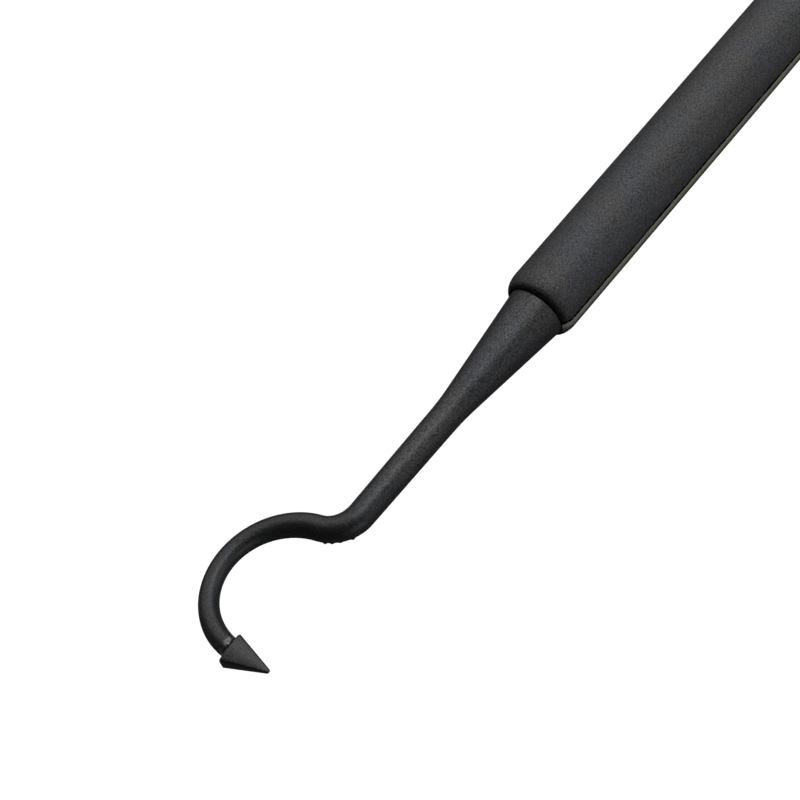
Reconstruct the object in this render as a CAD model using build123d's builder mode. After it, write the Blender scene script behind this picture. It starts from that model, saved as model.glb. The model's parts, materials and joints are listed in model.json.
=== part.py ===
from build123d import *

import os
from math import asin, cos, degrees, radians, sin

# A double-ended nylon hook pick, the spudger used to tease wires, plugs and clips apart.
#
# The handle is a plain round tube made of two half shells, split in the plane of the hook.
# It clamps a pick at each end: a hooked one at the front (+X) and a flat prying blade at
# the back (-X). A separate arrow tip is pressed on the end of the hook.
#
# Frame: origin on the handle's axis, halfway along it, +X along the handle to the hook and
# +Z up as the tool lies on a bench. It rests on the handle and on the back of the hook, so
# the hook's plane is tilted about X. Each piece is drawn in that plane. Millimetres.

# ---- Handle -------------------------------------------------------------------------
handle_radius = 4.0
handle_length = 88.0
mouth_x = handle_length / 2
lip_round_length = 1.8      # the rounding of each end, measured along the handle
lip_round_depth = 0.8       # and measured inwards from the outer surface
core_radius = 2.7           # hollow middle of the handle
core_length = 46.0
rib_count = 3
rib_thickness = 1.2
rib_spacing = 11.5

# Tongue and groove that line the two shells up along both walls
tongue_centre_y = 3.35
tongue_width = 0.4
tongue_height = 0.5
tongue_length = 80.0
groove_clearance = 0.05

# ---- Pick roots, the same at both ends -------------------------------------------------
pick_axis_y = 0.15          # the picks sit slightly off the handle's axis
fit_clearance = 0.05        # around everything that seats in a shell
neck_radius = 3.16          # where a pick leaves the handle
recess_radius = 3.27        # narrow open ring around the neck at each mouth
recess_depth = 2.0
root_radius = 2.5
root_length = 12.0          # from the floor of the recess inwards
groove_radius = 1.8
groove_width = 1.5
groove_offsets = (3.0, 8.0)  # grip grooves, from the floor of the recess
tail_side = 3.2             # square tail that stops a pick from turning
tail_length = 3.0

# ---- Hook pick -------------------------------------------------------------------------
neck_length = 14.0
neck_end_radius = 1.61
neck_blend_radius = 30.0    # soft corner between neck and shank
shank_length = 28.4         # mouth to the start of the bend
shank_end_radius = 1.46
bend_radius = 3.55
bend_angle = 76.0           # away from +Y
bend_end_radius = 1.32
hook_radius = 7.6
hook_sweep = 163.5          # back towards +Y, as far as the arrow tip's base
hook_trim = 4.0             # swept past the base, then cut flush with it
hook_wire = (               # share of the hook's length, wire radius there
    (0.33, 1.11),
    (0.58, 1.03),
    (0.8, 1.08),
    (1.0, 1.08),
)

# ---- Arrow tip -------------------------------------------------------------------------
tip_offset = 0.15           # outboard of the wire's centreline
tip_lean = 6.0              # degrees beyond the wire's heading
tip_length = 4.77
tip_width = 3.46            # across the barbs, in the hook's plane
tip_thickness = 1.6         # at the barbs, tapering to the nose
tip_edge_round = 0.3
tip_rim_round = 0.2
tip_nose_width = 0.4        # the blunt point
tip_nose_thickness = 0.34
tip_nose_round = 0.14
peg_radius = 0.35
peg_length = 1.5
socket_clearance = 0.05

# ---- Blade pick ------------------------------------------------------------------------
blade_neck_length = 11.0
blade_neck_end_radius = 1.75
blade_root_distance = 19.0  # mouth to the full width of the blade
blade_end_distance = 34.0   # mouth to the prying edge
blade_width = 6.0
blade_end_width = 5.2
blade_root_thickness = 2.0
blade_end_thickness = 0.6
blade_edge_share = 0.4      # rounding of its long edges, as a share of its thickness
blade_corner_radius = 1.4

# ---- How the tool lies -----------------------------------------------------------------
# The back of the hook comes down level with the bottom of the handle.
hook_centre_y = pick_axis_y - bend_radius + (bend_radius + hook_radius) * cos(radians(bend_angle))
hook_back_radius = 1.058
lie_angle = degrees(asin((handle_radius - hook_back_radius) / (hook_radius - hook_centre_y)))
hook_plane = Plane(
    origin=(0, 0, 0), x_dir=(1, 0, 0), z_dir=(0, -sin(radians(lie_angle)), cos(radians(lie_angle)))
)
pick_axis = Axis(hook_plane.from_local_coords((0, pick_axis_y, 0)), (1, 0, 0))


def across(x):
    """The plane across the handle at x. Its own x axis lies in the hook's plane."""
    return Plane(origin=(x, 0, 0), x_dir=hook_plane.y_dir, z_dir=(1, 0, 0))


def ring_seat(near_x, far_x, radius, centre_y, mode):
    """A cylinder along X between two stations, added or cut away."""
    with BuildSketch(across(near_x)) as disc:
        with Locations((centre_y, 0)):
            Circle(radius)
    extrude(disc.sketch, amount=far_x - near_x, mode=mode)


def handle_half(kept_side):
    """Half of the handle, with the seats for both picks and the stiffening ribs."""
    with BuildPart() as half:
        with BuildSketch(hook_plane):
            with BuildLine():
                straight_end = mouth_x - lip_round_length
                lip_radius = handle_radius - lip_round_depth
                Line((-straight_end, handle_radius), (straight_end, handle_radius))
                for end, first_angle in ((1, 0), (-1, 90)):
                    EllipticalCenterArc(
                        (end * straight_end, lip_radius),
                        lip_round_length,
                        lip_round_depth,
                        start_angle=first_angle,
                        arc_size=90,
                    )
                    Line((end * mouth_x, lip_radius), (end * mouth_x, 0))
                Line((-mouth_x, 0), (mouth_x, 0))
            make_face()
        revolve(axis=Axis.X)

        # Hollow core, with half-disc ribs left standing across it
        ring_seat(-core_length / 2, core_length / 2, core_radius, 0, Mode.SUBTRACT)
        for station in range(rib_count):
            rib_x = (station - (rib_count - 1) / 2) * rib_spacing
            ring_seat(rib_x - rib_thickness / 2, rib_x + rib_thickness / 2, core_radius, 0, Mode.ADD)

        for end in (-1, 1):
            floor_x = mouth_x - recess_depth
            ring_seat(end * mouth_x, end * floor_x, recess_radius, pick_axis_y, Mode.SUBTRACT)
            # Root seat, cut in stretches so that solid ribs stay in the pick's grip grooves
            start_x = floor_x
            for groove_offset in groove_offsets:
                groove_x = floor_x - groove_offset
                ring_seat(end * start_x, end * (groove_x - fit_clearance), root_radius + fit_clearance,
                          pick_axis_y, Mode.SUBTRACT)
                ring_seat(end * (groove_x - fit_clearance), end * (groove_x - groove_width + fit_clearance),
                          groove_radius + fit_clearance, pick_axis_y, Mode.SUBTRACT)
                start_x = groove_x - groove_width + fit_clearance
            root_end_x = floor_x - root_length
            ring_seat(end * start_x, end * (root_end_x - fit_clearance), root_radius + fit_clearance,
                      pick_axis_y, Mode.SUBTRACT)
            # Square pocket for the tail
            with BuildSketch(across(end * root_end_x)):
                with Locations((pick_axis_y, 0)):
                    Rectangle(tail_side + 2 * fit_clearance, tail_side + 2 * fit_clearance)
            extrude(amount=-end * (tail_length + fit_clearance), mode=Mode.SUBTRACT)

        split(bisect_by=hook_plane, keep=kept_side)
    return half


def tongues(width, height, mode):
    """The long strips along both walls, standing up from the parting plane."""
    with BuildSketch(hook_plane) as strips:
        with GridLocations(0, 2 * tongue_centre_y, 1, 2):
            Rectangle(tongue_length, width)
    extrude(strips.sketch, amount=height, mode=mode)


# ---- Handle shells ---------------------------------------------------------------------
with BuildPart() as upper_handle_shell:
    add(handle_half(Keep.TOP))
    tongues(tongue_width + 2 * groove_clearance, tongue_height + groove_clearance, Mode.SUBTRACT)

with BuildPart() as lower_handle_shell:
    add(handle_half(Keep.BOTTOM))
    tongues(tongue_width, tongue_height, Mode.ADD)

upper_handle_shell.part.label = "upper_handle_shell"
lower_handle_shell.part.label = "lower_handle_shell"


def root_outline(end):
    """Half outline of a pick's root, from its inner end to where the neck begins."""
    floor_x = mouth_x - recess_depth
    outline = [(floor_x - root_length, 0), (floor_x - root_length, root_radius)]
    for groove_offset in reversed(groove_offsets):
        outer_side = floor_x - groove_offset
        inner_side = outer_side - groove_width
        outline += [(inner_side, root_radius), (inner_side, groove_radius)]
        outline += [(outer_side, groove_radius), (outer_side, root_radius)]
    outline += [(floor_x, root_radius), (floor_x, neck_radius), (mouth_x, neck_radius)]
    return [(end * x, pick_axis_y + radius) for x, radius in outline]


def tail(end):
    """The square tail on a root's inner end."""
    root_end_x = mouth_x - recess_depth - root_length
    with BuildSketch(across(end * root_end_x)) as square:
        with Locations((pick_axis_y, 0)):
            Rectangle(tail_side, tail_side)
    extrude(square.sketch, amount=-end * tail_length)


# ---- Hook pick -------------------------------------------------------------------------
bend_start_x = mouth_x + shank_length

with BuildPart() as hook_pick:
    # Root, neck and shank, turned about the pick's own axis
    with BuildSketch(hook_plane) as turned_outline:
        with BuildLine():
            Polyline(
                *root_outline(1),
                (mouth_x + neck_length, pick_axis_y + neck_end_radius),
                (bend_start_x, pick_axis_y + shank_end_radius),
                (bend_start_x, pick_axis_y),
                close=True,
            )
        make_face()
        neck_end = (mouth_x + neck_length, pick_axis_y + neck_end_radius)
        fillet(turned_outline.vertices().sort_by_distance(neck_end)[0], radius=neck_blend_radius)
    revolve(axis=pick_axis)
    tail(1)

    # Bend and hook: round wire that thins towards the crown of the hook
    with BuildLine(hook_plane) as wire:
        bend = JernArc(
            start=(bend_start_x, pick_axis_y), tangent=(1, 0), radius=bend_radius, arc_size=-bend_angle
        )
        hook = JernArc(
            start=bend @ 1, tangent=bend % 1, radius=hook_radius, arc_size=hook_sweep + hook_trim
        )
    stations = [(bend @ 0, bend % 0, shank_end_radius), (bend @ 1, bend % 1, bend_end_radius)]
    stations += [(hook @ share, hook % share, radius) for share, radius in hook_wire]
    for centre, heading, radius in stations:
        with BuildSketch(Plane(origin=centre, x_dir=hook_plane.z_dir, z_dir=heading)):
            Circle(radius)
    sweep(multisection=True)

    # The hook's end is cut flush with the base of the arrow tip, leaving a peg
    base_share = hook_sweep / (hook_sweep + hook_trim)
    heading = hook % base_share
    hook_normal = Axis((0, 0, 0), hook_plane.z_dir)
    outboard = heading.rotate(hook_normal, -90)
    tip_base = Plane(
        origin=hook @ base_share + outboard * tip_offset,
        x_dir=hook_plane.z_dir,
        z_dir=heading.rotate(hook_normal, tip_lean),
    )
    with BuildSketch(tip_base):
        Circle(tip_width / 2)
    extrude(amount=tip_length, mode=Mode.SUBTRACT)
    with BuildSketch(tip_base):
        Circle(peg_radius)
    extrude(amount=peg_length)

hook_pick.part.label = "hook_pick"


def tip_section(distance, width, thickness, rounding):
    """Cross-section of the arrow tip, this far along it from its base."""
    with BuildSketch(tip_base.offset(distance)) as section:
        RectangleRounded(thickness, width, rounding)
    return section.sketch


# ---- Arrow tip: a flat arrowhead that tapers in width and thickness ---------------------
with BuildPart() as arrow_tip:
    loft(
        [
            tip_section(0, tip_width, tip_thickness, tip_edge_round),
            tip_section(tip_length, tip_nose_width, tip_nose_thickness, tip_nose_round),
        ]
    )
    tip_axis = Axis(tip_base.origin, tip_base.z_dir)
    base_rim = arrow_tip.faces().sort_by(tip_axis)[0].edges()
    fillet(base_rim, radius=tip_rim_round)
    nose_rim = arrow_tip.faces().sort_by(tip_axis)[-1].edges()
    fillet(nose_rim, radius=tip_nose_round)
    with BuildSketch(tip_base):
        Circle(peg_radius + socket_clearance)
    extrude(amount=peg_length + socket_clearance, mode=Mode.SUBTRACT)

arrow_tip.part.label = "arrow_tip"


def blade_section(distance, width, thickness):
    """Cross-section of the blade, this far out from the back mouth of the handle."""
    with BuildSketch(across(-mouth_x - distance)) as section:
        with Locations((pick_axis_y, 0)):
            RectangleRounded(width, thickness, blade_edge_share * thickness)
    return section.sketch


def blade():
    """The flat blade, tapered in thickness, with rounded corners at its prying edge."""
    with BuildPart() as tapered_bar:
        loft(
            [
                blade_section(blade_root_distance, blade_width, blade_root_thickness),
                blade_section(blade_end_distance, blade_end_width, blade_end_thickness),
            ]
        )
        with BuildSketch(hook_plane.offset(-blade_root_thickness)) as plan:
            with Locations((-mouth_x - blade_end_distance, pick_axis_y)):
                Rectangle(
                    2 * blade_end_distance, blade_end_width + 1, align=(Align.MIN, Align.CENTER)
                )
            end_corners = plan.vertices().group_by(Axis.X)[0]
            fillet(end_corners, radius=blade_corner_radius)
        extrude(amount=2 * blade_root_thickness, mode=Mode.INTERSECT)
    return tapered_bar


# ---- Blade pick ------------------------------------------------------------------------
with BuildPart() as blade_pick:
    with BuildSketch(hook_plane):
        with BuildLine():
            Polyline(
                *root_outline(-1),
                (-mouth_x - blade_neck_length, pick_axis_y + blade_neck_end_radius),
                (-mouth_x - blade_neck_length, pick_axis_y),
                close=True,
            )
        make_face()
    revolve(axis=pick_axis)
    tail(-1)

    # From the round end of the neck to the full width of the blade
    with BuildSketch(across(-mouth_x - blade_neck_length)) as neck_end_disc:
        with Locations((pick_axis_y, 0)):
            Circle(blade_neck_end_radius)
    loft([neck_end_disc.sketch, blade_section(blade_root_distance, blade_width, blade_root_thickness)])
    add(blade())

blade_pick.part.label = "blade_pick"

os.makedirs("parts", exist_ok=True)
export_step(upper_handle_shell.part, "parts/upper_handle_shell.step")
export_step(lower_handle_shell.part, "parts/lower_handle_shell.step")
export_step(hook_pick.part, "parts/hook_pick.step")
export_step(arrow_tip.part, "parts/arrow_tip.step")
export_step(blade_pick.part, "parts/blade_pick.step")
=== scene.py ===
"""A black nylon hook pick lying on a white table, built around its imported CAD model.

Every piece is drawn in the tool's own plane, in millimetres: u runs along the handle to the
hook, v across it in the hook's plane and w square to that plane. row_point() turns that into
the row frame, where the tool lies tilted on its handle and the back of its hook.
"""

import json
from math import acos, asin, atan2, ceil, cos, degrees, hypot, pi, radians, sin, sqrt, tan

import bmesh
import bpy
import numpy as np
from mathutils import Matrix, Vector, noise


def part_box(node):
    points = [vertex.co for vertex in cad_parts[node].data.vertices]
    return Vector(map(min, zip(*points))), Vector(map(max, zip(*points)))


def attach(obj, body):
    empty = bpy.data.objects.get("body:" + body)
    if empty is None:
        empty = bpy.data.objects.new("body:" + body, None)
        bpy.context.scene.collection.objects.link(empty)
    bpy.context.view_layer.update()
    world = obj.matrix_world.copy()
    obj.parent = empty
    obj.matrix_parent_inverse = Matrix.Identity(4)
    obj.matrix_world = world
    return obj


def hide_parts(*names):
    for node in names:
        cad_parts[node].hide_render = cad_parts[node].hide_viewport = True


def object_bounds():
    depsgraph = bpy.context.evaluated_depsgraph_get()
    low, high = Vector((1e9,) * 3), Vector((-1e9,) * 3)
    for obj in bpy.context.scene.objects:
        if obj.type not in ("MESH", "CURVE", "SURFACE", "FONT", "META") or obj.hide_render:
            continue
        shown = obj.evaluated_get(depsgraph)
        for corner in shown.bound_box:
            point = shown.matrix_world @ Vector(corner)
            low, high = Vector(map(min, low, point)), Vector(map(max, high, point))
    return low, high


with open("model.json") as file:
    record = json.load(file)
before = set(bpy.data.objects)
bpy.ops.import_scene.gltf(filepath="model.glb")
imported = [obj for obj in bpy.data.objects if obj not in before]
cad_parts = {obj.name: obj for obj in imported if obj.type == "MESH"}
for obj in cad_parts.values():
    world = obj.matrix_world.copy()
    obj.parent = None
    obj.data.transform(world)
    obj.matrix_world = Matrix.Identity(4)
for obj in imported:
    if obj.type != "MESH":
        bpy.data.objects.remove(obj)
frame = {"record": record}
cad_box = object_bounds()

MM = 0.001

# ---- Handle ------------------------------------------------------------------------------
# Sizes are in millimetres. The grip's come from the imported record, and the others are those of
# the CAD model, apart from surface details that only the looks need.
grip = next(m for m in frame["record"]["mounts"] if m["name"] == "handle_grip")["dims"]
handle_radius = grip["r_mm"]
straight_end = grip["length_mm"] / 2      # where the rounding of the lip starts
lip_round_length = 1.8
lip_round_depth = 0.8
mouth_x = straight_end + lip_round_length
recess_radius = 3.27                      # round the picks' axis
recess_depth = 2.0
recess_floor = mouth_x - recess_depth
bore_radius = 2.55                        # seats of the picks' roots
rib_radius = 1.85                         # ribs that stand in the roots' grooves
groove_offsets = (3.0, 8.0)
groove_width = 1.5
root_length = 12.0
tail_length = 3.0
tail_side = 3.2
fit_clearance = 0.05
core_radius = 2.7
core_length = 46.0
core_rib_count = 3
core_rib_thickness = 1.2
core_rib_spacing = 11.5

# The upper shell's edge is cut back in a ragged notch, so the seam reads as a dark line
notch_height = 0.18
notch_depth = 0.17
notch_ragged = 0.09
notch_edge = 0.05                         # the height over which it reaches its depth
seam_round = 0.02                         # on the lower shell's edge

# Painted shade in the lip of each mouth fills a circle that's off centre, so it's wider on one side
painted_shade_radius = 3.5
painted_shade_fade = 0.36
painted_shade_shift = 0.24
painted_shade_side = radians(62)                   # from +Y, about the handle's axis
painted_shade_strength = 0.8

# ---- Picks -------------------------------------------------------------------------------
pick_v = 0.15
neck_radius = 3.16
root_radius = 2.5
groove_radius = 1.8
neck_length = 14.0
neck_end_radius = 1.61
neck_blend = 30.0
shank_length = 28.4
shank_end_radius = 1.46
bend_radius = 3.55
bend_angle = radians(76)
bend_end_radius = 1.32
hook_radius = 7.6
hook_sweep = radians(163.5)
hook_run = radians(167.5)                 # the sweep that the wire's radii are shares of
hook_wire = ((0.0, bend_end_radius), (0.33, 1.11), (0.58, 1.03), (0.8, 1.08), (1.0, 1.08))
tip_offset = 0.15
tip_lean = radians(6)
tip_length = 4.77
tip_width = 3.46
tip_thickness = 1.6
tip_edge_round = 0.3
tip_rim_round = 0.2
tip_nose_width = 0.4
tip_nose_thickness = 0.34
tip_nose_round = 0.14
tip_crown = 0.2                           # how far its two faces bulge at the base
peg_radius = 0.35
peg_length = 1.5
wire_flare = 0.06                         # the wire thickens just before the arrow tip
wire_flare_length = 0.5
wire_end_bevel = 0.1
blade_neck_length = 11.0
blade_neck_end_radius = 1.75
blade_root_distance = 19.0
blade_end_distance = 34.0
blade_width = 6.0
blade_end_width = 5.2
blade_root_thickness = 2.0
blade_end_thickness = 0.6
blade_edge_share = 0.4                    # rounding of its edges, as a share of its thickness
blade_corner_radius = 1.4

# Crumbs of flash on the outside of the bend: (share of the bend, height)
bend_lumps = ((0.385, 0.17), (0.59, 0.09), (0.725, 0.14), (0.84, 0.17))
lump_angle = -33                          # degrees below the parting line, on the outside
lump_length = 0.13
lump_spread = 5.0                         # degrees round the wire

# The wire's parting line: a faint ridge, higher in ragged places
ridge_height = 0.012
ridge_ragged = 0.02
ridge_spread = 1.8                        # degrees round the wire
ridge_seed = 61.0

# ---- Mesh density ------------------------------------------------------------------------
fine_step = 0.2
coarse_step = 0.6
bend_step = 0.05
hook_step = 0.14
arc_step = 8.0                            # degrees
ring_count = 64
sharp_angle = radians(32)
weld_distance = 1e-4
sliver_length = 1e-5
noise_row = 0.37                          # any place between two rows of the noise's grid

# The hook's plane is tilted about the handle's axis. The seam's edge on the upper shell says
# by how much, because it lies in that plane at the handle's outer radius.
lie_angle = asin(-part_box("upper_handle_shell")[0].z / MM / handle_radius)
LIE = Matrix.Rotation(lie_angle, 3, "X")


def row_point(u, v, w):
    """A point of the tool, in millimetres, as a point of the row frame in metres."""
    return LIE @ Vector((u, v, w)) * MM


def between(first, second, share):
    """The value this share of the way from the first to the second."""
    return first + (second - first) * share


def eased(share):
    """A share from 0 to 1, changed to start and end gently."""
    return share * share * (3 - 2 * share)


# ---- Mesh helpers ------------------------------------------------------------------------
def finish_piece(name, mesh, material):
    """Cleans a bmesh, closes it into an object that rides on the tool, and shades it."""
    bmesh.ops.remove_doubles(mesh, verts=mesh.verts, dist=weld_distance * MM)
    bmesh.ops.dissolve_degenerate(mesh, edges=mesh.edges, dist=sliver_length * MM)
    bmesh.ops.recalc_face_normals(mesh, faces=mesh.faces)
    data = bpy.data.meshes.new(name)
    mesh.to_mesh(data)
    mesh.free()
    data.shade_smooth()
    data.set_sharp_from_angle(angle=sharp_angle)
    data.materials.append(material)
    piece = bpy.data.objects.new(name, data)
    bpy.context.scene.collection.objects.link(piece)
    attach(piece, "root")
    return piece


def skin(mesh, rings):
    """Quads between neighbouring closed rings of vertices."""
    for near, far in zip(rings, rings[1:]):
        for i in range(len(near)):
            j = (i + 1) % len(near)
            mesh.faces.new((near[i], near[j], far[j], far[i]))


def rounded_outline(corners, step):
    """Points along a polyline of (x, y, rounding) corners, with arcs and even spacing."""
    points = [np.array(corners[0][:2], float)]
    for before, corner, after in zip(corners, corners[1:], corners[2:]):
        here = np.array(corner[:2], float)
        incoming = here - np.array(before[:2], float)
        outgoing = np.array(after[:2], float) - here
        incoming /= np.linalg.norm(incoming)
        outgoing /= np.linalg.norm(outgoing)
        turn = acos(np.clip(incoming @ outgoing, -1, 1))
        rounding = corner[2]
        if rounding == 0 or turn < 1e-4:
            points.append(here)
            continue
        reach = rounding * tan(turn / 2)
        bisector = (outgoing - incoming) / np.linalg.norm(outgoing - incoming)
        centre = here + bisector * rounding / cos(turn / 2)
        steps = max(3, ceil(degrees(turn) / arc_step))
        first = here - incoming * reach - centre
        last = here + outgoing * reach - centre
        for k in range(steps + 1):
            share = k / steps
            spoke = (first * sin((1 - share) * turn) + last * sin(share * turn)) / sin(turn)
            points.append(centre + spoke)
    points.append(np.array(corners[-1][:2], float))
    outline = [points[0]]
    for here, there in zip(points, points[1:]):
        pieces = max(1, ceil(np.linalg.norm(there - here) / step))
        outline += [here + (there - here) * k / pieces for k in range(1, pieces + 1)]
    return outline


def ripple(distance, wavelength, seed):
    """Smooth random variation between about -1 and 1 along a length."""
    return noise.noise(Vector((distance / wavelength, seed, noise_row)))


# ---- Materials ---------------------------------------------------------------------------
speckle_tone = (0.06, 0.06, 0.06, 1)
# Colour painted where shade falls
painted_shade_tone = (0.001, 0.001, 0.001, 1)
# The seam's lighter strip: painted bounce light from the table, and wear
bounce_lit_and_worn_tone = (0.42, 0.41, 0.32, 1)
cool_glint = (0.94, 0.97, 1.07, 1)
warm_glint = (1.0, 1.0, 0.98, 1)
handle_tones = (0.012, 0.013, 0.016), (0.015, 0.015, 0.013)
pick_tones = (0.007, 0.008, 0.011), (0.009, 0.009, 0.008)

# Roughness, gloss, and the depth of the grain in millimetres
upper_finish = 0.52, 1.35, 0.05
lower_finish = 0.56, 1.35, 0.05
pick_finish = 0.40, 1.2, 0.03
tip_finish = 0.36, 1.15, 0.015

# Sizes of the surface's patterns, in millimetres
grain_size = 0.16
mottle_size = 1.1
drift_size = 5.0
gap_reach = 0.4                           # how close surfaces are in a gap that gets painted shade
bounce_lit_and_worn_near, bounce_lit_and_worn_far = 0.6, 1.7            # heights above the seam over which the painted bounce light and wear fade out
# Heights above the seam below which the notch's edge gets painted shade
seam_painted_shade_low, seam_painted_shade_high = 0.20, 0.25
polish_near, polish_far = 1.20, 1.34      # the polished spot's fading edge, from the wire's end
pick_smooth_from = 64.0                   # along X
smooth_run = 12.0


def node(tree, kind, inputs=None, **settings):
    """Adds a shader node. An input's value is a number, a colour or another node's output."""
    made = tree.nodes.new(kind)
    for key, value in settings.items():
        setattr(made, key, value)
    for key, value in (inputs or {}).items():
        if isinstance(value, bpy.types.NodeSocket):
            tree.links.new(value, made.inputs[key])
        else:
            made.inputs[key].default_value = value
    return made


def math_node(tree, operation, first, second=0.0):
    """A number made from one or two numbers."""
    return node(tree, "ShaderNodeMath", {0: first, 1: second}, operation=operation).outputs[0]


def vector_node(tree, operation, first, second):
    """A vector, or a plain number from DISTANCE and DOT_PRODUCT."""
    outputs = node(tree, "ShaderNodeVectorMath", {0: first, 1: second}, operation=operation).outputs
    return outputs["Value" if operation in ("DISTANCE", "DOT_PRODUCT") else "Vector"]


def mixed(tree, factor, first, second):
    """A colour between two colours."""
    made = node(tree, "ShaderNodeMix", {0: factor, 6: first, 7: second}, data_type="RGBA")
    return made.outputs[2]


def ramp(tree, value, low, high):
    """0 below low, 1 above high, smooth between."""
    made = node(
        tree,
        "ShaderNodeMapRange",
        {"Value": value, "From Min": low, "From Max": high},
        interpolation_type="SMOOTHSTEP",
    )
    return made.outputs["Result"]


def nylon(
    name,
    cool,
    warm,
    roughness,
    gloss,
    grain_depth,
    shaded_mouth=False,
    bounce_lit_and_worn_seam=0.0,
    smooth_from=None,
    polished_end=None,
):
    """Moulded black nylon: speckled fine grain, soft mottling and a drift between two tones.

    shaded_mouth paints shade into the edge of each mouth of the handle, and
    bounce_lit_and_worn_seam is how far the colour beside its seam is painted lighter, as bounce
    light from the table and wear. Narrow gaps are painted dark as shade. The grain dies out along X
    past smooth_from, and the wire shines near the point polished_end.
    """
    material = bpy.data.materials.new(name)
    material.use_nodes = True
    tree = material.node_tree
    tree.nodes.clear()
    place = node(tree, "ShaderNodeTexCoord").outputs["Object"]
    in_millimetres = {0: place, "Scale": 1 / MM}
    place = node(tree, "ShaderNodeVectorMath", in_millimetres, operation="SCALE").outputs[0]

    def cloud(size, detail=2.0, rough=0.5):
        inputs = {"Vector": place, "Scale": 1 / size, "Detail": detail, "Roughness": rough}
        return node(tree, "ShaderNodeTexNoise", inputs).outputs["Fac"]

    def times(first, second):
        return math_node(tree, "MULTIPLY", first, second)

    def plus(first, second):
        return math_node(tree, "ADD", first, second)

    def one_minus(value):
        return math_node(tree, "SUBTRACT", 1.0, value)

    grain = cloud(grain_size, 2.0, 0.6)
    mottle = cloud(mottle_size, 3.0, 0.6)
    drift = cloud(drift_size, 1.0)
    speckle = ramp(tree, grain, 0.34, 0.66)
    surface = plus(times(grain, 0.16), roughness - 0.08)
    surface = plus(surface, times(drift, 0.06))
    if smooth_from:
        along = node(tree, "ShaderNodeSeparateXYZ", {0: place}).outputs["X"]
        smooth = ramp(tree, along, smooth_from, smooth_from + smooth_run)
        speckle = plus(times(speckle, one_minus(times(smooth, 0.6))), times(smooth, 0.12))
        surface = math_node(tree, "SUBTRACT", surface, times(smooth, 0.04))

    tone = mixed(tree, ramp(tree, mottle, 0.35, 0.65), (*cool, 1), (*warm, 1))
    lighter = mixed(tree, 0.35, tone, speckle_tone)
    tone = mixed(tree, speckle, tone, lighter)
    # Painted shade: ambient occlusion darkens surfaces that lie close to others
    reach = {"Distance": gap_reach * MM}
    gap = node(tree, "ShaderNodeAmbientOcclusion", reach, samples=6).outputs["AO"]
    unshaded = ramp(tree, gap, 0.3, 0.85)

    if shaded_mouth:
        # Painted shade in the lip of each mouth, in an off-centre circle
        flat_place = vector_node(tree, "MULTIPLY", place, (0, 1, 1))
        centre = (0, painted_shade_shift * cos(painted_shade_side), painted_shade_shift * sin(painted_shade_side))
        from_centre = vector_node(tree, "DISTANCE", flat_place, centre)
        from_centre = plus(from_centre, times(cloud(0.5), 0.2))
        painted_shade = one_minus(ramp(tree, from_centre, painted_shade_radius, painted_shade_radius + painted_shade_fade))
        unshaded = times(unshaded, one_minus(times(painted_shade, painted_shade_strength)))

    if bounce_lit_and_worn_seam:
        # Height above the hook's plane, in millimetres
        plane = (0, -sin(lie_angle), cos(lie_angle))
        height = math_node(tree, "ABSOLUTE", vector_node(tree, "DOT_PRODUCT", place, plane))
        # A lighter strip beside the seam: painted bounce light from the table, and wear
        bounce_lit_and_worn = one_minus(ramp(tree, plus(height, times(mottle, 0.5)), bounce_lit_and_worn_near, bounce_lit_and_worn_far))
        tone = mixed(tree, times(bounce_lit_and_worn, bounce_lit_and_worn_seam), tone, bounce_lit_and_worn_tone)
        surface = plus(surface, times(bounce_lit_and_worn, 0.12))
        # Painted shade on the edge that shows in the notch
        ragged_height = plus(height, times(cloud(0.4), 0.25))
        unshaded = times(unshaded, ramp(tree, ragged_height, seam_painted_shade_low, seam_painted_shade_high))

    # Narrow gaps get painted shade, and the grain shades itself where it's seen edge on
    tone = mixed(tree, unshaded, painted_shade_tone, tone)
    edge_on = node(tree, "ShaderNodeLayerWeight", {"Blend": 0.5}).outputs["Facing"]
    edge_on = times(ramp(tree, edge_on, 0.72, 0.97), 0.2)
    glint = times(plus(times(speckle, 0.5 * gloss), 0.25 * gloss), times(unshaded, one_minus(edge_on)))
    glint_tint = mixed(tree, ramp(tree, drift, 0.4, 0.6), cool_glint, warm_glint)
    relief = {"Height": grain, "Strength": 1.0, "Distance": grain_depth * MM}
    surface_inputs = {
        "Base Color": tone,
        "Roughness": surface,
        "IOR": 1.53,
        "Specular IOR Level": glint,
        "Specular Tint": glint_tint,
        "Normal": node(tree, "ShaderNodeBump", relief).outputs[0],
    }
    if polished_end:
        from_end = vector_node(tree, "DISTANCE", place, polished_end)
        polish = one_minus(ramp(tree, from_end, polish_near, polish_far))
        surface_inputs["Coat Weight"] = times(polish, unshaded)
        surface_inputs["Coat Roughness"] = 0.2
        surface_inputs["Coat IOR"] = 1.8
    shader = node(tree, "ShaderNodeBsdfPrincipled", surface_inputs)
    output = node(tree, "ShaderNodeOutputMaterial")
    tree.links.new(shader.outputs[0], output.inputs["Surface"])
    return material


# The upper shell gets painted shade in the lip of each mouth
upper_look = nylon("handle_nylon", *handle_tones, *upper_finish, shaded_mouth=True)
# The lower shell's strip beside its seam is painted lighter, as bounce light and wear
lower_look = nylon("handle_nylon_worn_seam", *handle_tones, *lower_finish, bounce_lit_and_worn_seam=0.8)
pick_look = nylon("pick_nylon", *pick_tones, *pick_finish, smooth_from=pick_smooth_from)
# The whole tip is smooth, since all of it lies past this
tip_look = nylon("tip_nylon", *pick_tones, *tip_finish, smooth_from=1)


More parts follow.
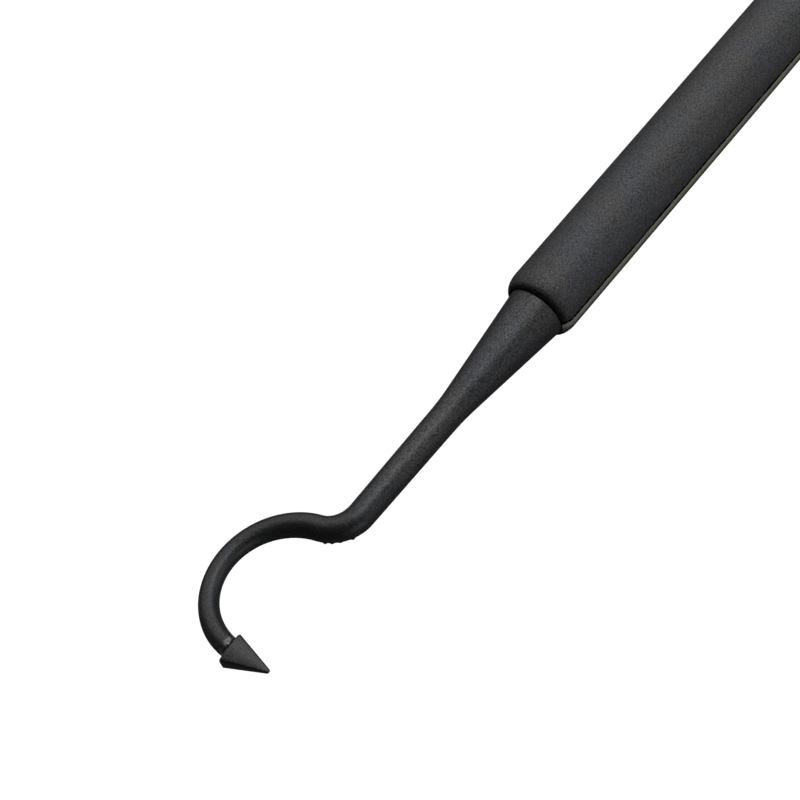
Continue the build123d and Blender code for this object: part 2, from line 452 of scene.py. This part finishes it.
# ---- Handle shells -----------------------------------------------------------------------
def lip_outline(crest_radius):
    """The rounded lip, from where the straight handle ends to its crest at the recess."""
    lip_radius = handle_radius - lip_round_depth
    crest_angle = acos(max(0.0, crest_radius - lip_radius) / lip_round_depth)
    points = []
    steps = 24
    for k in range(1, steps + 1):
        angle = crest_angle * k / steps
        u = straight_end + lip_round_length * sin(angle)
        points.append((u, lip_radius + lip_round_depth * cos(angle)))
    return points


def root_seat_outline():
    """Half outline of one end's seat, from the recess to the wall behind the tail's pocket."""
    corners = [(mouth_x, recess_radius), (recess_floor, recess_radius), (recess_floor, bore_radius)]
    for offset in groove_offsets:
        rib_near = recess_floor - offset - fit_clearance
        rib_far = recess_floor - offset - groove_width + fit_clearance
        corners += [(rib_near, bore_radius), (rib_near, rib_radius)]
        corners += [(rib_far, rib_radius), (rib_far, bore_radius)]
    root_end = recess_floor - root_length - fit_clearance
    pocket_end = root_end - tail_length
    pocket_radius = tail_side * sqrt(0.5) + fit_clearance
    corners += [(root_end, bore_radius), (root_end, pocket_radius)]
    corners += [(pocket_end, pocket_radius), (pocket_end, 0)]
    return [(u, radius, pick_v) for u, radius in corners]


def inside_outline(crest_u):
    """Half outline of everything inside a shell: rows of (u, radius, v of its centre)."""
    seat = root_seat_outline()
    seat[0] = (crest_u, *seat[0][1:])
    core = [(core_length / 2, 0, 0), (core_length / 2, core_radius, 0)]
    for station in range(core_rib_count):
        rib_u = ((core_rib_count - 1) / 2 - station) * core_rib_spacing
        near, far = rib_u + core_rib_thickness / 2, rib_u - core_rib_thickness / 2
        core += [(near, core_radius, 0), (near, 0, 0), (far, 0, 0), (far, core_radius, 0)]
    core += [(-core_length / 2, core_radius, 0), (-core_length / 2, 0, 0)]
    corners = seat + core + [(-u, radius, centre) for u, radius, centre in reversed(seat)]
    rows = []
    for k, (here, there) in enumerate(zip(corners, corners[1:])):
        # The recess's walls are cut alike all round, whatever the height of the lip's crest
        at_mouth = k in (0, len(corners) - 2)
        pieces = 4 if at_mouth else max(1, ceil(abs(there[0] - here[0]) / coarse_step))
        for step in range(pieces):
            share = step / pieces
            rows.append(tuple(a + (b - a) * share for a, b in zip(here, there)))
    return rows[1:]


def notch(u, height, side, seed):
    """How far a shell's outside is set back at this height above the seam."""
    if side < 0:
        if height >= seam_round:
            return 0.0
        return seam_round - sqrt(seam_round**2 - (seam_round - height) ** 2)
    ragged = notch_ragged * (ripple(u, 0.6, seed) + 0.6 * ripple(u, 0.2, seed + 5))
    into_notch = (notch_height + ragged - height) / notch_edge
    return (notch_depth + ragged) * min(1.0, max(0.0, into_notch))


def shell_outline(angle, side):
    """Closed outline of a shell's wall at one angle from its seam, as (u, v, w) points."""
    # Where the recess, which is round the pick, cuts the lip at this angle
    crest_radius = pick_v * cos(angle) + sqrt(recess_radius**2 - (pick_v * sin(angle)) ** 2)
    lip = lip_outline(crest_radius)
    straight = np.linspace(-straight_end, straight_end, ceil(2 * straight_end / fine_step) + 1)
    outside = [(-u, radius) for u, radius in reversed(lip)]
    outside += [(u, handle_radius) for u in straight]
    outside += lip
    points = []
    seam_seed = (11 if angle < pi / 2 else 23) + 3 * side
    for u, radius in outside:
        fade = min(1.0, (radius - crest_radius) / notch_depth)
        radius -= fade * notch(u, radius * sin(angle), side, seam_seed)
        points.append((u, radius * cos(angle), side * radius * sin(angle)))
    # The recess meets the lip's crest at the same point, seen from the pick's own axis
    crest_u = lip[-1][0]
    recess_angle = atan2(crest_radius * sin(angle), crest_radius * cos(angle) - pick_v)
    for u, radius, centre in inside_outline(crest_u):
        turned = recess_angle if centre else angle
        points.append((u, centre + radius * cos(turned), side * radius * sin(turned)))
    return points


def handle_shell(name, node_name, side, material):
    """One half of the handle. side is 1 for the upper shell and -1 for the lower."""
    # Rows are close together beside each seam, where the notch is, and even between the two
    near_seam = [0, 0.02, 0.04, 0.065, 0.09, 0.115, 0.14, 0.165, 0.19, 0.22, 0.26, 0.31]
    even_from, even_count = 0.42, 60
    across = [h / handle_radius for h in near_seam]
    middle = np.linspace(even_from, pi * handle_radius - even_from, even_count) / handle_radius
    angles = across + list(middle) + [pi - a for a in reversed(across)]
    mesh = bmesh.new()
    outlines = []
    for angle in angles:
        outlines.append([mesh.verts.new(row_point(*point)) for point in shell_outline(angle, side)])
    skin(mesh, outlines)
    mesh.faces.new(outlines[0])
    mesh.faces.new(list(reversed(outlines[-1])))
    piece = finish_piece(name, mesh, material)
    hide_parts(node_name)
    return piece


handle_shell("handle_shell_upper", "upper_handle_shell", 1, upper_look)
handle_shell("handle_shell_lower", "lower_handle_shell", -1, lower_look)


# ---- Round and flat bars -------------------------------------------------------------------
class Station:
    """One cross-section of a bar: its centre and heading in the hook's plane, and its shape.

    The shape is a rectangle with rounded corners; a round bar's rounding is its radius.
    """

    def __init__(self, u, v, heading, half_width, half_height=None, rounding=None):
        self.u, self.v, self.heading = u, v, heading
        self.half_width = half_width
        self.half_height = half_width if half_height is None else half_height
        self.rounding = half_width if rounding is None else rounding
        self.ridge = 0.0
        self.lump = 0.0
        self.crown = 0.0


def ring_angles():
    """Angles round a bar, closer together at its parting line and at its four corners."""
    angles = {360 * k / ring_count for k in range(ring_count)}
    for side in (0, 180):
        angles |= {side + offset for offset in (-3.2, -1.4, 1.4, 3.2)}
    angles |= {lump_angle + offset for offset in (-8, -5, -2.5, 0, 2.5, 5)}
    for corner in (45, 135, 225, 315):
        angles |= {corner + offset for offset in (-9, -6, -3, -1, 1, 3, 6, 9)}
    return [radians(angle) for angle in sorted(a % 360 for a in angles)]


ROUND = ring_angles()


def outline_point(station, angle):
    """The point of a station's outline towards an angle, which is 45 degrees at its corner."""
    across = station.half_width * abs(cos(angle))
    height = station.half_height * abs(sin(angle))
    stretch = 1 / max(abs(cos(angle)), abs(sin(angle)))
    corner_across = station.half_width - station.rounding
    corner_height = station.half_height - station.rounding
    if across * stretch > corner_across and height * stretch > corner_height:
        # Where the ray from the centre meets the corner's arc
        a = across**2 + height**2
        b = across * corner_across + height * corner_height
        c = corner_across**2 + corner_height**2 - station.rounding**2
        stretch = (b + sqrt(max(0.0, b * b - a * c))) / a
    return np.sign(cos(angle)) * across * stretch, np.sign(sin(angle)) * height * stretch


def ring_of(mesh, station, slide=None):
    """The vertices of one station. slide moves each point along the heading."""
    ring = []
    out_u, out_v = -sin(station.heading), cos(station.heading)
    for angle in ROUND:
        across, height = outline_point(station, angle)
        off_parting = degrees(asin(abs(sin(angle))))
        across += np.sign(across) * station.ridge * np.exp(-((off_parting / ridge_spread) ** 2))
        off_lump = (degrees(angle) - lump_angle + 180) % 360 - 180
        across += station.lump * np.exp(-((off_lump / lump_spread) ** 2))
        if station.crown:
            bulge = cos(across / station.half_width * pi / 2)
            height *= 1 + station.crown / station.half_height * bulge
        along = slide(across) if slide else 0.0
        u = station.u + across * out_u + along * cos(station.heading)
        v = station.v + across * out_v + along * sin(station.heading)
        ring.append(mesh.verts.new(row_point(u, v, height)))
    return ring


def bar(mesh, rings):
    """Skins a row of rings and closes both ends."""
    skin(mesh, rings)
    mesh.faces.new(list(reversed(rings[0])))
    mesh.faces.new(rings[-1])


def root_stations(end):
    """Tail, grooved root and collar of a pick. end is 1 at the hook and -1 at the blade."""
    heading = 0.0 if end > 0 else pi
    root_start = recess_floor - root_length
    stations = []
    for u in np.linspace(root_start - tail_length, root_start, 8):
        stations.append(Station(end * u, pick_v, heading, tail_side / 2, rounding=0.05))
    corners = [(root_start, root_radius - 0.3, 0), (root_start, root_radius, 0.15)]
    for offset in reversed(groove_offsets):
        outer = recess_floor - offset
        inner = outer - groove_width
        corners += [(inner, root_radius, 0.1), (inner, groove_radius, 0)]
        corners += [(outer, groove_radius, 0), (outer, root_radius, 0.1)]
    corners += [(recess_floor, root_radius, 0), (recess_floor, neck_radius, 0)]
    corners.append((mouth_x, neck_radius, 0))
    for u, radius in rounded_outline(corners, coarse_step):
        stations.append(Station(end * u, pick_v, heading, radius))
    return stations


def wire_radius(share):
    """Radius of the hook's wire, as a smooth curve through its named places."""
    shares, radii = zip(*hook_wire)
    return float(np.polyval(np.polyfit(shares, radii, len(shares) - 1), share))


def hook_stations():
    """Neck, shank, bend and hook, from the mouth of the handle to the arrow tip."""
    bend_start = mouth_x + shank_length
    neck = [
        (mouth_x, neck_radius, 0),
        (mouth_x + neck_length, neck_end_radius, neck_blend),
        (bend_start, shank_end_radius, 0),
    ]
    stations = []
    for u, radius in rounded_outline(neck, fine_step)[1:]:
        stations.append(Station(u, pick_v, 0.0, radius))
    u, v, heading = bend_start, pick_v, 0.0
    # The bend turns one way and the hook the other
    bend = (bend_radius, bend_angle, -1, bend_step)
    hook = (hook_radius, hook_sweep, 1, hook_step)
    for radius, turn, sense, spacing in (bend, hook):
        steps = ceil(radius * turn / spacing)
        centre_u = u - sense * radius * sin(heading)
        centre_v = v + sense * radius * cos(heading)
        start = heading
        for k in range(1, steps + 1):
            swept = turn * k / steps
            heading = start + sense * swept
            u = centre_u + sense * radius * sin(heading)
            v = centre_v - sense * radius * cos(heading)
            if sense < 0:
                wire = between(shank_end_radius, bend_end_radius, eased(swept / turn))
            else:
                wire = wire_radius(swept / hook_run)
            stations.append(Station(u, v, heading, wire))
            if sense < 0:
                for lump_share, lump_height in bend_lumps:
                    away = (swept / turn - lump_share) * radius * turn / lump_length
                    stations[-1].lump += lump_height * np.exp(-away * away)
    return stations


def add_parting_ridge(stations, seed):
    """A faint raised line where the mould's halves met, higher in a few ragged places."""
    travelled = 0.0
    for before, station in zip(stations, stations[1:]):
        travelled += hypot(station.u - before.u, station.v - before.v)
        rough = ripple(travelled, 0.5, seed) + 0.5 * ripple(travelled, 0.2, seed + 1)
        station.ridge = ridge_height + ridge_ragged * max(0.0, rough)


def tip_place(end, distance):
    """A place on the arrow tip's axis, this far from its base, and the axis's heading."""
    heading = end.heading + tip_lean
    u = end.u + sin(end.heading) * tip_offset + distance * cos(heading)
    v = end.v - cos(end.heading) * tip_offset + distance * sin(heading)
    return u, v, heading


def hook_pick(name, material):
    """The hooked pick, from its square tail to the peg that holds the arrow tip."""
    wire = hook_stations()
    add_parting_ridge(wire, ridge_seed)
    mesh = bmesh.new()
    rings = [ring_of(mesh, station) for station in root_stations(1)]
    end = wire[-1]
    for station in wire:
        left = hypot(end.u - station.u, end.v - station.v)
        into_flare = max(0.0, 1 - left / wire_flare_length)
        station.half_width += wire_flare * into_flare**2
        if station is end:
            station.half_width -= wire_end_bevel
        station.half_height = station.rounding = station.half_width
        # The last rings turn into the plane of the arrow tip's base
        turned = max(0.0, 1 - left)
        rings.append(ring_of(mesh, station, lambda across: -turned * across * tan(tip_lean)))
    for distance in (0.0, peg_length):
        rings.append(ring_of(mesh, Station(*tip_place(end, distance), peg_radius)))
    bar(mesh, rings)
    piece = finish_piece(name, mesh, material)
    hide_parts("hook_pick")


def arrow_tip(name, end, material):
    """A flat arrowhead with a socket for the peg, tapering in width and thickness."""
    socket_radius = peg_radius + fit_clearance
    stations = []
    for distance in (peg_length + fit_clearance, 0.0):
        stations.append(Station(*tip_place(end, distance), socket_radius))
    arc_steps, flank_steps = 6, 40
    least_rounding = 0.02
    rim = [tip_rim_round * (1 - cos(k / arc_steps * pi / 2)) for k in range(arc_steps)]
    flanks = list(np.linspace(tip_rim_round, tip_length - tip_nose_round, flank_steps))
    nose = []
    for k in range(1, arc_steps + 1):
        nose.append(tip_length - tip_nose_round * (1 - sin(k / arc_steps * pi / 2)))
    for distance in rim + flanks + nose:
        share = distance / tip_length
        width = between(tip_width, tip_nose_width, share) / 2
        height = between(tip_thickness, tip_nose_thickness, share) / 2
        rounding = between(tip_edge_round, tip_nose_round, share)
        inset = 0.0
        for depth, size in ((distance, tip_rim_round), (tip_length - distance, tip_nose_round)):
            if depth < size:
                inset += size - sqrt(size**2 - (size - depth) ** 2)
        place = tip_place(end, distance)
        rounding = max(rounding - inset, least_rounding)
        station = Station(*place, width - inset, height - inset, rounding)
        station.crown = tip_crown * (1 - share)
        stations.append(station)
    mesh = bmesh.new()
    bar(mesh, [ring_of(mesh, station) for station in stations])
    piece = finish_piece(name, mesh, material)
    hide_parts("arrow_tip")


wire_end = hook_stations()[-1]
hook_look = nylon(
    "pick_nylon_polished",
    *pick_tones,
    *pick_finish,
    smooth_from=pick_smooth_from,
    polished_end=tuple(row_point(wire_end.u, wire_end.v, 0) / MM),
)
hook_pick("hook_pick_body", hook_look)
arrow_tip("arrow_tip_head", wire_end, tip_look)


# ---- Blade pick ----------------------------------------------------------------------------
def blade_stations():
    """From the round neck to a flat blade that thins to its prying edge."""
    flare_steps, flat_steps, corner_steps = 40, 50, 16
    neck_end = mouth_x + blade_neck_length
    neck = [(mouth_x, neck_radius, 0), (neck_end, blade_neck_end_radius, 0)]
    stations = []
    for u, radius in rounded_outline(neck, fine_step)[1:]:
        stations.append(Station(-u, pick_v, pi, radius))
    flare = blade_root_distance - blade_neck_length
    for k in range(1, flare_steps + 1):
        share = k / flare_steps
        flat = eased(share)
        width = between(blade_neck_end_radius, blade_width / 2, flat)
        height = between(blade_neck_end_radius, blade_root_thickness / 2, flat)
        u = neck_end + flare * share
        rounding = min(width, height) * (1 - flat) + blade_edge_share * 2 * height * flat
        stations.append(Station(-u, pick_v, pi, width, height, rounding))
    taper = blade_end_distance - blade_root_distance
    distances = list(np.linspace(0, taper - blade_corner_radius, flat_steps)[1:])
    for k in range(1, corner_steps + 1):
        distances.append(taper - blade_corner_radius * (1 - sin(k / corner_steps * pi / 2)))
    for distance in distances:
        share = distance / taper
        width = between(blade_width, blade_end_width, share) / 2
        height = between(blade_root_thickness, blade_end_thickness, share) / 2
        into_corner = distance - (taper - blade_corner_radius)
        if into_corner > 0:
            width -= blade_corner_radius - sqrt(max(0.0, blade_corner_radius**2 - into_corner**2))
        into_edge = distance - (taper - blade_end_thickness / 2)
        if into_edge > 0:
            height = sqrt(max(1e-6, (blade_end_thickness / 2) ** 2 - into_edge**2))
        u = mouth_x + blade_root_distance + distance
        stations.append(Station(-u, pick_v, pi, width, height, blade_edge_share * 2 * height))
    return stations


def blade_pick(name, material):
    """The flat prying blade at the back end, with its root."""
    mesh = bmesh.new()
    stations = root_stations(-1) + blade_stations()
    bar(mesh, [ring_of(mesh, station) for station in stations])
    piece = finish_piece(name, mesh, material)
    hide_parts("blade_pick")


blade_pick("blade_pick_body", pick_look)


# ---- Stage: white table, soft light, camera --------------------------------------------------
white_glow = 1.05                         # strength at which a surface looks plain white
table_tone = (0.15, 0.15, 0.15, 1)
room_light = 0.02
panel_size = 0.30                         # metres, as is the distance
panel_distance = 0.5

# A bright panel almost overhead, a row of window panels behind the tool, low fill, and one at
# the side: (name, azimuth and elevation in degrees, radiance)
panels = (
    ("overhead_panel", 213, 68, 2.9),
    ("window_left", 135, 42, 0.95),
    ("window_middle", 195, 42, 1.25),
    ("window_right", 255, 42, 1.0),
    ("low_fill_left", 135, 14, 0.65),
    ("low_fill_middle", 225, 14, 1.2),
    ("low_fill_right", 270, 14, 0.95),
    ("side_fill", 80, 18, 1.0),
)


def white_table():
    """A table that looks plain white from above, is dark to the tool and clear from below."""
    mesh = bmesh.new()
    reach = 3.0
    table_z = cad_box[0].z
    corners = [(-reach, -reach), (reach, -reach), (reach, reach), (-reach, reach)]
    mesh.faces.new([mesh.verts.new((x, y, table_z)) for x, y in corners])
    data = bpy.data.meshes.new("white_table")
    mesh.to_mesh(data)
    mesh.free()
    table = bpy.data.objects.new("white_table", data)
    bpy.context.scene.collection.objects.link(table)
    material = bpy.data.materials.new("white_table")
    material.use_nodes = True
    tree = material.node_tree
    tree.nodes.clear()
    # From below, the camera sees through the table
    behind = node(tree, "ShaderNodeNewGeometry").outputs["Backfacing"]
    clear = node(tree, "ShaderNodeBsdfTransparent").outputs[0]
    paper = node(tree, "ShaderNodeBsdfDiffuse", {"Color": table_tone}).outputs[0]
    white = {"Color": (1, 1, 1, 1), "Strength": white_glow}
    glow = node(tree, "ShaderNodeEmission", white).outputs[0]
    seen = node(tree, "ShaderNodeLightPath").outputs["Is Camera Ray"]
    mix = node(tree, "ShaderNodeMixShader", {0: behind, 1: glow, 2: clear}).outputs[0]
    mix = node(tree, "ShaderNodeMixShader", {0: seen, 1: paper, 2: mix}).outputs[0]
    output = node(tree, "ShaderNodeOutputMaterial")
    tree.links.new(mix, output.inputs["Surface"])
    data.materials.append(material)


def surroundings():
    """A dim room, seen as plain white by the camera."""
    world = bpy.data.worlds.new("studio")
    bpy.context.scene.world = world
    world.use_nodes = True
    tree = world.node_tree
    tree.nodes.clear()
    dim = {"Color": (1, 1, 1, 1), "Strength": room_light}
    room = node(tree, "ShaderNodeBackground", dim).outputs[0]
    bright = {"Color": (1, 1, 1, 1), "Strength": white_glow}
    white = node(tree, "ShaderNodeBackground", bright).outputs[0]
    seen = node(tree, "ShaderNodeLightPath").outputs["Is Camera Ray"]
    mix = node(tree, "ShaderNodeMixShader", {0: seen, 1: room, 2: white}).outputs[0]
    output = node(tree, "ShaderNodeOutputWorld")
    tree.links.new(mix, output.inputs["Surface"])


def softbox(name, azimuth, elevation, radiance):
    """A square soft light that faces the tool's neck and doesn't show to the camera."""
    aim = Vector((mouth_x + neck_length, 0, 0)) * MM
    data = bpy.data.lights.new(name, "AREA")
    data.shape = "SQUARE"
    data.size = panel_size
    # An area light of this power has the wanted brightness at its surface
    data.energy = radiance * pi * panel_size**2
    light = bpy.data.objects.new(name, data)
    azimuth, elevation = radians(azimuth), radians(elevation)
    direction = Vector(
        (cos(azimuth) * cos(elevation), sin(azimuth) * cos(elevation), sin(elevation))
    )
    light.location = aim + direction * panel_distance
    light.rotation_mode = "QUATERNION"
    light.rotation_quaternion = direction.to_track_quat("Z", "Y")
    light.visible_camera = False
    bpy.context.scene.collection.objects.link(light)


white_table()
surroundings()
for panel in panels:
    softbox(*panel)

camera_aim = row_point(mouth_x, 0, 0) + Vector((16.46, -4.5, 0)) * MM
camera_distance = 236.87 * MM
camera_heading = radians(29.46)
camera_elevation = radians(66.9)
camera_roll = radians(9.53)
camera_lens = 107.0

camera_data = bpy.data.cameras.new("camera")
camera_data.sensor_width = 36.0
camera_data.lens = camera_lens
camera_data.clip_start = 0.01
camera_data.clip_end = 20.0
camera = bpy.data.objects.new("camera", camera_data)
bpy.context.scene.collection.objects.link(camera)
camera_back = Vector(
    (
        cos(camera_heading) * cos(camera_elevation),
        sin(camera_heading) * cos(camera_elevation),
        sin(camera_elevation),
    )
)
camera.location = camera_aim + camera_back * camera_distance
camera.rotation_mode = "QUATERNION"
level = camera_back.to_track_quat("Z", "Y")
camera.rotation_quaternion = level @ Matrix.Rotation(camera_roll, 3, "Z").to_quaternion()
bpy.context.scene.camera = camera
bpy.context.scene.view_settings.view_transform = "Standard"
